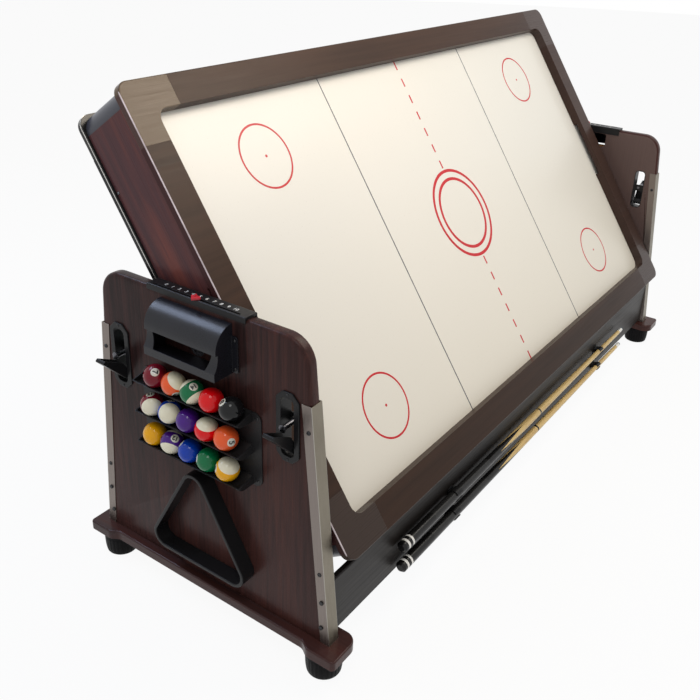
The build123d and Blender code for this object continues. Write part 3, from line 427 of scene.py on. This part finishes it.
MAT = {
    "panel": wood("mahogany_upright", "Z", dark=(0.020, 0.0100, 0.0095), mid=(0.044, 0.0190, 0.0176),
                  red=(0.078, 0.0280, 0.0220), coat=0.03, level=0.10, extra=bare_sill, fine=115.0,
                  width=0.09),
    "apron_end": wood("mahogany_end_apron", "Y", True, dark=(0.058, 0.028, 0.031),
                      mid=(0.092, 0.037, 0.040), red=(0.190, 0.055, 0.042), level=0.12,
                      shift=(0.3, 0.12, 0.4), pore=0.12, extra=apron_flame),
    "apron_side": wood("mahogany_side_apron", "X", True),
    "rail_x": wood("mahogany_rail_long", "X", True, dark=(0.034, 0.0180, 0.0120),
                   mid=(0.050, 0.0265, 0.0175), red=(0.070, 0.0350, 0.0220), rough=0.34, coat=0.02,
                   level=0.10, extra=rail_arris, pore=0.12),
    # The corner pieces' tan here is painted glare, kept only on the near upper piece; the rest are darkened
    # to the rail's tone
    "rail_corner": wood("mahogany_rail_corner", "X", True, dark=(0.094, 0.0570, 0.0290),
                        mid=(0.100, 0.0605, 0.0310), red=(0.106, 0.0640, 0.0330), coat=0.02, level=0.22,
                        extra=corner_foil, pore=0.0),
    "base": wood("mahogany_base", "Y", dark=(0.032, 0.0190, 0.0190), mid=(0.055, 0.0300, 0.0300),
                 rough=0.22, coat=0.08, level=0.12, pore=0.15),
    "black_board": wood("black_ash_board", "X", dark=(0.007, 0.0055, 0.005), mid=(0.0115, 0.0095, 0.0085),
                        red=(0.018, 0.0145, 0.0125), rough=0.4, coat=0.0),
    "pool_rail": wood("black_ash_rail", "X", True, dark=(0.006, 0.006, 0.006), mid=(0.011, 0.011, 0.0115),
                      red=(0.018, 0.018, 0.019), rough=0.32, coat=0.1),
    "bare": wood("bare_board", "Y", True, dark=(0.28, 0.19, 0.11), mid=(0.42, 0.31, 0.19),
                 red=(0.5, 0.38, 0.25), rough=0.7, coat=0.0),
    "field": field_board(),
    "black": plastic("black_plastic", (0.009, 0.009, 0.0098), 0.34),
    # Partly painted sheen: the hood's black has a blue cast to match the bluish sheen it catches from the
    # left_back lamp
    "hood": plastic("hood_plastic", (0.0085, 0.0088, 0.0125), 0.30, level=0.32),
    "rack": plastic("rack_plastic", (0.0150, 0.0145, 0.0152), 0.38),
    "post": plastic("post_plastic", (0.037, 0.038, 0.049), 0.34, tilted=True, level=0.4),
    "pocket": plastic("pocket_plastic", (0.0075, 0.0070, 0.0062), 0.26, tilted=True, level=0.35),
    "foot": foot_plastic(),
    "red": plastic("pointer_red", (0.50, 0.030, 0.045), 0.25, coat=0.2),
    "fan": plastic("fan_plastic", (0.04, 0.04, 0.043), 0.45),
    "channel": channel_metal(),
    "steel": metal("turned_steel", (0.13, 0.13, 0.145), 0.28),
    "black_steel": metal("blackened_steel", (0.05, 0.05, 0.052), 0.42),
    "silver": metal("silver_edge", (0.62, 0.61, 0.58), 0.28, "X", True),
    "cloth": cloth("green_cloth", (0.012, 0.135, 0.062)),
    "ink_red": paint("ink_red", (0.60, 0.004, 0.014)),
    "ink_navy": paint("ink_navy", lin(38, 40, 62)),
    "ink_white": paint("ink_white", (0.8, 0.8, 0.78)),
    "ink_black": paint("ink_black", (0.015, 0.015, 0.016)),
}


def material_for(name):
    """The material of a CAD node, chosen by the end of its name."""
    for end, key in (("end_panel", "panel"), ("base_board", "base"), ("end_apron", "apron_end"),
                     ("side_apron", "apron_side"), ("_foot", "foot"), ("edge_channel", "channel"),
                     ("stretcher", "black_board"), ("lock_pin", "steel"), ("score_pointer", "red"),
                     ("hinge_pins", "steel"), ("pivot_axles", "steel"), ("pivot_bushes", "steel"),
                     ("stretcher_bolts", "black_steel"), ("corner_posts", "post"), ("cross_ribs", "bare"),
                     ("hockey_rails", "rail_x"), ("hockey_corners", "rail_corner"), ("hockey_field", "field"),
                     ("blower_housing", "fan"), ("blower_impeller", "fan"), ("pool_bed", "cloth"),
                     ("pool_cushions", "cloth"), ("pool_rails", "pool_rail"), ("pool_pockets", "pocket"),
                     ("puck_box", "hood"), ("ball_rack", "rack")):
        if name.endswith(end):
            return MAT[key]
    return MAT["black"]


for name, obj in nodes.items():
    obj.data.materials.clear()
    obj.data.materials.append(material_for(name))
    for polygon in obj.data.polygons:
        polygon.material_index = 0
for which, height in CUE_Z.items():
    for part in ("butt", "shaft"):
        node = nodes[f"{which}_cue_{part}"]
        node.data.materials.clear()
        node.data.materials.append(cue_wood(f"cue_{which}_{part}", height, part))


# Mesh building
def add(name, data):
    """A new object with this data, linked to the scene."""
    obj = bpy.data.objects.new(name, data)
    bpy.context.scene.collection.objects.link(obj)
    return obj


def baked(name, bm, matrix=ROW):
    """Mesh data from bm, placed by matrix; bm is freed."""
    data = bpy.data.meshes.new(name)
    bm.to_mesh(data)
    bm.free()
    data.transform(matrix)
    return data


def piece(name, bm, mat, body, matrix=ROW, smooth=True):
    """A mesh made in a frame of its own, placed by matrix, riding on a body."""
    bmesh.ops.recalc_face_normals(bm, faces=bm.faces)
    data = baked(name, bm, matrix)
    obj = add(name, data)
    data.materials.append(mat)
    if smooth:
        data.shade_smooth()
        data.set_sharp_from_angle(angle=math.radians(38))
    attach(obj, body)
    return obj


def plate(bm, outline, low, high, hole=None):
    """Adds a prism between two heights; with hole, the outline is a ring of equal point counts."""
    count = len(outline)
    rings = [[bm.verts.new((*p, z)) for p in loop] for loop in ([outline] + ([hole] if hole else []))
             for z in (low, high)]
    for k in range(count):
        n = (k + 1) % count
        bm.faces.new((rings[0][k], rings[0][n], rings[1][n], rings[1][k]))
        if hole:
            bm.faces.new((rings[2][k], rings[3][k], rings[3][n], rings[2][n]))
            bm.faces.new((rings[1][k], rings[1][n], rings[3][n], rings[3][k]))
            bm.faces.new((rings[0][k], rings[2][k], rings[2][n], rings[0][n]))
    if not hole:
        bm.faces.new(rings[1])
        bm.faces.new(rings[0][::-1])


def circle(x, y, radius, count=96):
    return [(x + radius * math.cos(2 * math.pi * k / count), y + radius * math.sin(2 * math.pi * k / count))
            for k in range(count)]


def bar(x0, x1, y0, y1):
    return [(x0, y0), (x1, y0), (x1, y1), (x0, y1)]


def lathe(bm, profile, count=32, matrix=ROW):
    """Turns a profile of (radius, height) about the local Z axis."""
    rings = []
    for radius, height in profile:
        if radius < 1e-6:
            rings.append([bm.verts.new(matrix @ Vector((0, 0, height)))])
        else:
            rings.append([bm.verts.new(matrix @ Vector((radius * math.cos(2 * math.pi * k / count),
                                                        radius * math.sin(2 * math.pi * k / count), height)))
                          for k in range(count)])
    for a, b in zip(rings, rings[1:]):
        for k in range(count):
            n = (k + 1) % count
            quad = [a[k % len(a)], a[n % len(a)], b[n % len(b)], b[k % len(b)]]
            quad = [v for i, v in enumerate(quad) if v not in quad[:i]]
            if len(quad) > 2:
                bm.faces.new(quad)


def glyphs(text, height, depth, bold=0.0):
    """Outlines of generic numerals as a mesh, centred on the origin."""
    curve = bpy.data.curves.new("glyph", "FONT")
    curve.body = text
    curve.size = height
    curve.extrude = depth
    curve.offset = bold
    curve.resolution_u = 5
    curve.align_x, curve.align_y = "CENTER", "CENTER"
    holder = add("glyph", curve)
    data = bpy.data.meshes.new_from_object(holder.evaluated_get(bpy.context.evaluated_depsgraph_get()))
    bpy.data.objects.remove(holder)
    return data


# End panels with their top and side rims rounded over, as turned with a router
RIM = 0.008
CORNER_FROM_Y, CORNER_FROM_Z = 0.22, 0.7404
RIM_FROM_Z = 0.2
TOUCH = 1e-4


def on_rim(v):
    """True for a point of the panel's outline on either face."""
    x, y, z = v.co
    if min(abs(abs(x) - FACE_X), abs(abs(x) - FACE_X + PANEL_THICK)) > TOUCH:
        return False
    at_side = abs(y) > panel_half(z) - CHANNEL_WALL - 0.0006
    at_corner = z > CORNER_FROM_Z and abs(y) > CORNER_FROM_Y
    return at_side or z > PANEL_TOP - TOUCH or at_corner


for end in ("near", "far"):
    panel = bmesh.new()
    panel.from_mesh(nodes[f"{end}_end_panel"].data)
    bmesh.ops.remove_doubles(panel, verts=panel.verts, dist=1e-6)
    bmesh.ops.dissolve_limit(panel, angle_limit=math.radians(0.4), verts=panel.verts, edges=panel.edges)
    rim = [e for e in panel.edges if all(on_rim(v) for v in e.verts)
           and abs(e.verts[0].co.x - e.verts[1].co.x) < TOUCH
           and max(v.co.z for v in e.verts) > RIM_FROM_Z]
    bmesh.ops.bevel(panel, geom=rim, offset=RIM, offset_type="OFFSET", segments=5, profile=0.5,
                    affect="EDGES", clamp_overlap=False)
    board = piece(f"{end}_panel_board", panel, MAT["panel"], "stand")
    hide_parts(f"{end}_end_panel")

# Printed lines on the hockey field
FIELD_TOP = FIELD_W + 0.00012
DASHES, DASH, DASH_PITCH, DASH_HALF = 7, 0.0245, 0.051, 0.003
RING_HALF = 0.0045
CORNER_RING = (0.654, 0.320)
BLUE_X, BLUE_HALF = 0.359, 0.0016
red = bmesh.new()
for k in range(DASHES):
    start = FIELD_HALF - DASH_PITCH * k
    for low, high in ((start - DASH, start), (-start, -start + DASH)):
        plate(red, bar(-DASH_HALF, DASH_HALF, low, high), FIELD_W, FIELD_TOP)
for radius in (0.129, 0.1035):
    plate(red, circle(0, 0, radius + RING_HALF, 160), FIELD_W, FIELD_TOP,
          circle(0, 0, radius - RING_HALF, 160))
for sx in SIGNS:
    for sy in SIGNS:
        x, y = sx * CORNER_RING[0], sy * CORNER_RING[1]
        plate(red, circle(x, y, 0.0805), FIELD_W, FIELD_TOP, circle(x, y, 0.0755))
        plate(red, circle(x, y, 0.0036, 24), FIELD_W, FIELD_TOP)
piece("field_red_lines", red, MAT["ink_red"], "table", TABLE, smooth=False)
navy = bmesh.new()
for sx in SIGNS:
    x = sx * BLUE_X
    plate(navy, bar(x - BLUE_HALF, x + BLUE_HALF, -FIELD_HALF, FIELD_HALF), FIELD_W, FIELD_TOP)
piece("field_blue_lines", navy, MAT["ink_navy"], "table", TABLE, smooth=False)


# Pool side: silver edge strip, sights and spots
def rounded(half_x, half_y, radius, steps=10):
    """A rectangle's outline with rounded corners."""
    points = []
    for cx, cy, start in ((1, 1, 0), (-1, 1, 90), (-1, -1, 180), (1, -1, 270)):
        for k in range(steps + 1):
            a = math.radians(start + 90 * k / steps)
            points.append((cx * (half_x - radius) + radius * math.cos(a),
                           cy * (half_y - radius) + radius * math.sin(a)))
    return points


strip = bmesh.new()
outer = rounded(RAIL_X + 0.0006, RAIL_V + 0.0006, 0.0296)
inner = rounded(RAIL_X - 0.0012, RAIL_V - 0.0012, 0.0278)
plate(strip, outer, -0.0729, -0.0710, inner)
piece("pool_silver_edge", strip, MAT["silver"], "table", TABLE)

sights = bmesh.new()
places = [(sx * (0.225 * k), sy * 0.512) for k in (1, 2, 3) for sx in SIGNS for sy in SIGNS]
places += [(sx * 0.966, v) for v in (-0.22, 0.0, 0.22) for sx in SIGNS]
for x, v in places:
    plate(sights, circle(x, v, 0.0042, 32), -RAIL_W - 0.00015, -RAIL_W + 0.0005)
piece("pool_sights", sights, MAT["ink_white"], "table", TABLE, smooth=False)
spots = bmesh.new()
for x in (-0.44, 0.44):
    plate(spots, circle(x, 0, 0.006, 40), -0.0502, -0.0498)
piece("pool_spots", spots, MAT["ink_black"], "table", TABLE, smooth=False)


# Screws
def screw(bm, matrix, radius, height=0.0022):
    """A pan head with a round recess, seated at the local origin, looking along +Z."""
    lathe(bm, [(radius, 0), (radius, height * 0.35), (radius * 0.82, height * 0.8), (radius * 0.45, height),
               (radius * 0.28, height), (radius * 0.2, height * 0.45), (0, height * 0.4)], 20, matrix)


def looking(x, y, z, direction):
    """The place at (x, y, z) with its local Z axis along a direction."""
    return Matrix.Translation((x, y, z)) @ Vector(direction).to_track_quat("Z", "Y").to_matrix().to_4x4()


APRON_SCREW_W = -0.0625
bright = bmesh.new()
for sx in SIGNS:
    for v in (-0.36, 0.36):
        screw(bright, TABLE @ looking(sx * 0.988, v, APRON_SCREW_W, (sx, 0, 0)), 0.0036)
for x in (-0.8, -0.4, 0.0, 0.4, 0.8):
    for sv in SIGNS:
        screw(bright, TABLE @ looking(x, sv * 0.534, APRON_SCREW_W, (0, sv, 0)), 0.0036)
piece("apron_screws", bright, MAT["steel"], "table")

OUTER_FLANGE_X, INNER_FLANGE_X = FACE_X + CHANNEL_WALL, FACE_X - PANEL_THICK - CHANNEL_WALL
dark = bmesh.new()
for sx in SIGNS:
    for sy in SIGNS:
        for z in (0.269, 0.603):
            y = sy * (panel_half(z) - CHANNEL_FLANGE / 2)
            screw(dark, looking(sx * OUTER_FLANGE_X, y, z, (sx, 0, 0)), 0.0048, 0.0026)
            screw(dark, looking(sx * INNER_FLANGE_X, y, z, (-sx, 0, 0)), 0.0048, 0.0026)
piece("channel_screws", dark, MAT["black_steel"], "stand")

BEZEL_X, BEZEL_Z = 1.036, 0.596
FLANGE_X = FACE_X + 0.003
small = bmesh.new()
for sx in SIGNS:
    for sy in SIGNS:
        for dz in (-0.0745, 0.0745):
            screw(small, looking(sx * BEZEL_X, sy * LATCH_Y, BEZEL_Z + dz, (sx, 0, 0)), 0.003, 0.0016)
    for y in (-0.1065, 0.1065):
        for z in (0.680, 0.743):
            screw(small, looking(sx * FLANGE_X, y, z, (sx, 0, 0)), 0.0035, 0.0018)
for y in (-0.161, 0.161):
    for z in (0.432, 0.585):
        screw(small, looking(-FLANGE_X, y, z, (-1, 0, 0)), 0.0035, 0.0018)
piece("plastic_screws", small, MAT["black_steel"], "stand")

# Snap ring on each lock pin, far enough out to clear the bezel in every pose
RING_X, PIN_Z = 1.0502, 0.6015
RING_PROFILE = [(0.0062, 0), (0.0085, 0.0002), (0.0085, 0.0014), (0.0062, 0.0016)]
for end, sx in (("near", -1), ("far", 1)):
    for side, sy in (("front", -1), ("rear", 1)):
        ring = bmesh.new()
        lathe(ring, RING_PROFILE, 28, looking(sx * RING_X, sy * LATCH_Y, PIN_Z, (sx, 0, 0)))
        piece(f"{end}_{side}_snap_ring", ring, MAT["steel"], f"{end}_{side}_pin")

# Score numerals 0 to 10, plain, beside the slot on each strip
SCORE_X, SCORE_Z, SCORE_PITCH = 1.0160, 0.80115, 0.0192
for end, sx in (("near", -1), ("far", 1)):
    joined = bmesh.new()
    for k in range(11):
        data = glyphs(str(k), 0.0125, 0.00015)
        facing = Matrix(((0, -sx, 0, sx * SCORE_X), (sx, 0, 0, sx * (k - 5) * SCORE_PITCH),
                         (0, 0, 1, SCORE_Z), (0, 0, 0, 1)))
        data.transform(facing)
        joined.from_mesh(data)
        bpy.data.meshes.remove(data)
    piece(f"{end}_score_numerals", joined, MAT["ink_white"], "stand", smooth=False)

# Balls: number, colour, whether banded, and the number's direction and the band's axis, both given
# as right, up and toward the camera
RED, ORANGE, GREEN = (0.88, 0.004, 0.008), (0.98, 0.13, 0.030), (0.003, 0.18, 0.060)
MAROON, PURPLE, BLUE = (0.20, 0.004, 0.016), (0.075, 0.012, 0.24), (0.003, 0.050, 0.45)
YELLOW, BLACK = (0.98, 0.46, 0.004), (0.008, 0.008, 0.009)
BALLS = (
    ((7, MAROON, 0, (-0.05, 0.30, 0.95), (1, 0, 0)), (13, ORANGE, 1, (-0.2, 0.85, -0.4), (0.62, 0.12, 0.77)),
     (14, GREEN, 1, (0.12, 0.44, 0.89), (0.54, -0.78, 0.31)), (3, RED, 0, (0.97, -0.2, 0.02), (0, 1, 0)),
     (8, BLACK, 0, (-0.70, 0.52, 0.49), (1, 0, 0))),
    ((15, MAROON, 1, (-0.2, 0.85, 0.48), (-0.06, -0.5, 0.865)),
     (10, BLUE, 1, (0.1, 0.99, 0.1), (-0.1, -0.15, 0.98)),
     (4, PURPLE, 0, (0.97, -0.2, 0.02), (0, 1, 0)), (11, RED, 1, (-0.9, 0.3, -0.14), (0.15, 0.75, 0.64)),
     (5, ORANGE, 0, (0.43, -0.35, 0.83), (1, 0, 0))),
    ((1, YELLOW, 0, (0.97, -0.2, 0.02), (0, 1, 0)), (12, PURPLE, 1, (0.25, 0.33, 0.91), (-0.34, -0.85, 0.40)),
     (2, BLUE, 0, (-0.75, 0.62, 0.2), (1, 0, 0)), (6, GREEN, 0, (-0.95, 0.1, 0.25), (0, 1, 0)),
     (9, YELLOW, 1, (-0.93, 0.06, 0.3), (0.25, 0.6, 0.76))),
)
CAMERA = Vector((-2.12286, -1.13257, 1.51009))
RIGHT = Vector((0.585311, -0.810420, 0.025105))
UP = Vector((0.343212, 0.275694, 0.897886))
AHEAD = Vector((0.734586, 0.516926, -0.439512))


def ball_turn(centre, number, axis):
    """The turn that puts the number spot (local Z) and band axis (local Y) where they are asked."""
    back = (CAMERA - centre).normalized()
    spot = (number[0] * RIGHT + number[1] * UP + number[2] * back).normalized()
    band = axis[0] * RIGHT + axis[1] * UP + axis[2] * back
    band = (band - band.dot(spot) * spot).normalized()
    side = band.cross(spot)
    return Matrix((side, band, spot)).transposed().to_4x4()


INK_RADIUS = BALL_R + 0.00010


def number_marks(number):
    """The ball's number on both spots, cut fine enough to lie on the sphere."""
    marks = bmesh.new()
    for flip in (1, -1):
        text = glyphs(str(number), 0.0165 if number < 10 else 0.0125, 0.0, 0.0006)
        fine = bmesh.new()
        fine.from_mesh(text)
        bmesh.ops.triangulate(fine, faces=fine.faces)
        bmesh.ops.subdivide_edges(fine, edges=fine.edges, cuts=3, use_grid_fill=True)
        for v in fine.verts:
            x, y = v.co.x, v.co.y
            z = math.sqrt(max(0.0, INK_RADIUS ** 2 - x * x - y * y))
            v.co = (x, flip * y, flip * z)
        fine.to_mesh(text)
        fine.free()
        marks.from_mesh(text)
        bpy.data.meshes.remove(text)
    return marks


for row, (height, shift) in zip(BALLS, ROWS):
    for column, (number, ink, striped, spot, axis) in enumerate(row):
        centre = Vector((BALL_X, shift - (column - 2) * BALL_PITCH, height))
        turn = ball_turn(centre, spot, axis)
        seat = Matrix.Translation(centre) @ turn
        sphere = bmesh.new()
        bmesh.ops.create_icosphere(sphere, subdivisions=5, radius=BALL_R)
        data = baked(f"ball_{number}", sphere, seat)
        data.shade_smooth()
        data.materials.append(ball_shader(f"ball_{number}", ink, striped, centre, turn))
        ball = add(f"ball_{number}", data)
        number_data = baked(f"ball_number_{number}", number_marks(number), seat)
        number_data.materials.append(MAT["ink_black"])
        digits = add(f"ball_number_{number}", number_data)
        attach(ball, "stand")
        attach(digits, "stand")
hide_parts("pool_balls")

# Camera as solved from the photograph, for a square frame
lens = bpy.data.cameras.new("camera")
lens.lens, lens.sensor_width, lens.sensor_fit = 44.056, 36.0, "HORIZONTAL"
lens.shift_x, lens.shift_y = 0.00806, -0.03671
lens.clip_start, lens.clip_end = 0.05, 100
camera = add("camera", lens)
camera.matrix_world = Matrix.Translation(CAMERA) @ Matrix((RIGHT, UP, -AHEAD)).transposed().to_4x4()
bpy.context.scene.camera = camera


# Floor, world and lamps
def plain_view(tree):
    """1 for camera, glossy and transmission rays, which see the white background, else 0."""
    path = tree.nodes.new("ShaderNodeLightPath")
    either = [tree.nodes.new("ShaderNodeMath") for _ in range(2)]
    either[0].operation = either[1].operation = "MAXIMUM"
    tree.links.new(path.outputs["Is Camera Ray"], either[0].inputs[0])
    tree.links.new(path.outputs["Is Glossy Ray"], either[0].inputs[1])
    tree.links.new(either[0].outputs[0], either[1].inputs[0])
    tree.links.new(path.outputs["Is Transmission Ray"], either[1].inputs[1])
    return either[1].outputs[0]


def floor():
    """A pale floor that keeps the table's shadow and is nearly white to the eye."""
    bm = bmesh.new()
    plate(bm, circle(0, 0, 14, 128), -0.002, 0.0)
    bmesh.ops.recalc_face_normals(bm, faces=bm.faces)
    data = baked("floor", bm)
    obj = add("floor", data)
    mat = bpy.data.materials.new("floor_pale")
    mat.use_nodes = True
    tree = mat.node_tree
    tree.nodes.clear()
    out = tree.nodes.new("ShaderNodeOutputMaterial")
    mixer = tree.nodes.new("ShaderNodeMixShader")
    soft = tree.nodes.new("ShaderNodeBsdfDiffuse")
    glow = tree.nodes.new("ShaderNodeEmission")
    share = tree.nodes.new("ShaderNodeMath")
    soft.inputs["Color"].default_value = (0.86, 0.86, 0.86, 1)
    glow.inputs["Strength"].default_value = 1.0
    share.operation = "MULTIPLY"
    share.inputs[1].default_value = 0.93
    tree.links.new(plain_view(tree), share.inputs[0])
    tree.links.new(share.outputs[0], mixer.inputs["Fac"])
    tree.links.new(soft.outputs[0], mixer.inputs[1])
    tree.links.new(glow.outputs[0], mixer.inputs[2])
    tree.links.new(mixer.outputs[0], out.inputs["Surface"])
    data.materials.append(mat)


def sky():
    """A white background over a dimmer, even world light."""
    world = bpy.data.worlds.new("studio")
    bpy.context.scene.world = world
    world.use_nodes = True
    tree = world.node_tree
    back = tree.nodes["Background"]
    strength = tree.nodes.new("ShaderNodeMapRange")
    tree.links.new(plain_view(tree), strength.inputs["Value"])
    strength.inputs["To Min"].default_value = 0.42
    strength.inputs["To Max"].default_value = 1.0
    back.inputs["Color"].default_value = (1, 1, 1, 1)
    tree.links.new(strength.outputs[0], back.inputs["Strength"])


def lamp(name, place, aim, width, height, power, colour=(1, 1, 1)):
    """A rectangular area lamp aimed at a point."""
    data = bpy.data.lights.new(name, "AREA")
    data.shape, data.size, data.size_y = "RECTANGLE", width, height
    data.energy, data.color = power, colour
    obj = add(name, data)
    obj.location = place
    obj.rotation_euler = (Vector(aim) - Vector(place)).to_track_quat("-Z", "Y").to_euler()


floor()
sky()
lamp("key", (0.72, -0.98, 2.45), (0.22, 0, 0.75), 1.5, 1.0, 22, (1.0, 0.94, 0.82))
lamp("glare", (-0.175, -0.34, 1.889), (-0.95, 0.209, 1.155), 0.5, 0.5, 3.4, (1.0, 0.82, 0.62))
lamp("left_back", (-1.3, 1.9, 2.9), (-0.9, 0, 0.7), 1.3, 0.9, 33, (0.60, 0.72, 1.0))
lamp("overhead", (-2.2, -0.8, 3.05), (-1.0, 0, 0.5), 0.9, 0.9, 14)
bpy.context.scene.view_settings.view_transform = "Standard"

bpy.context.view_layer.update()
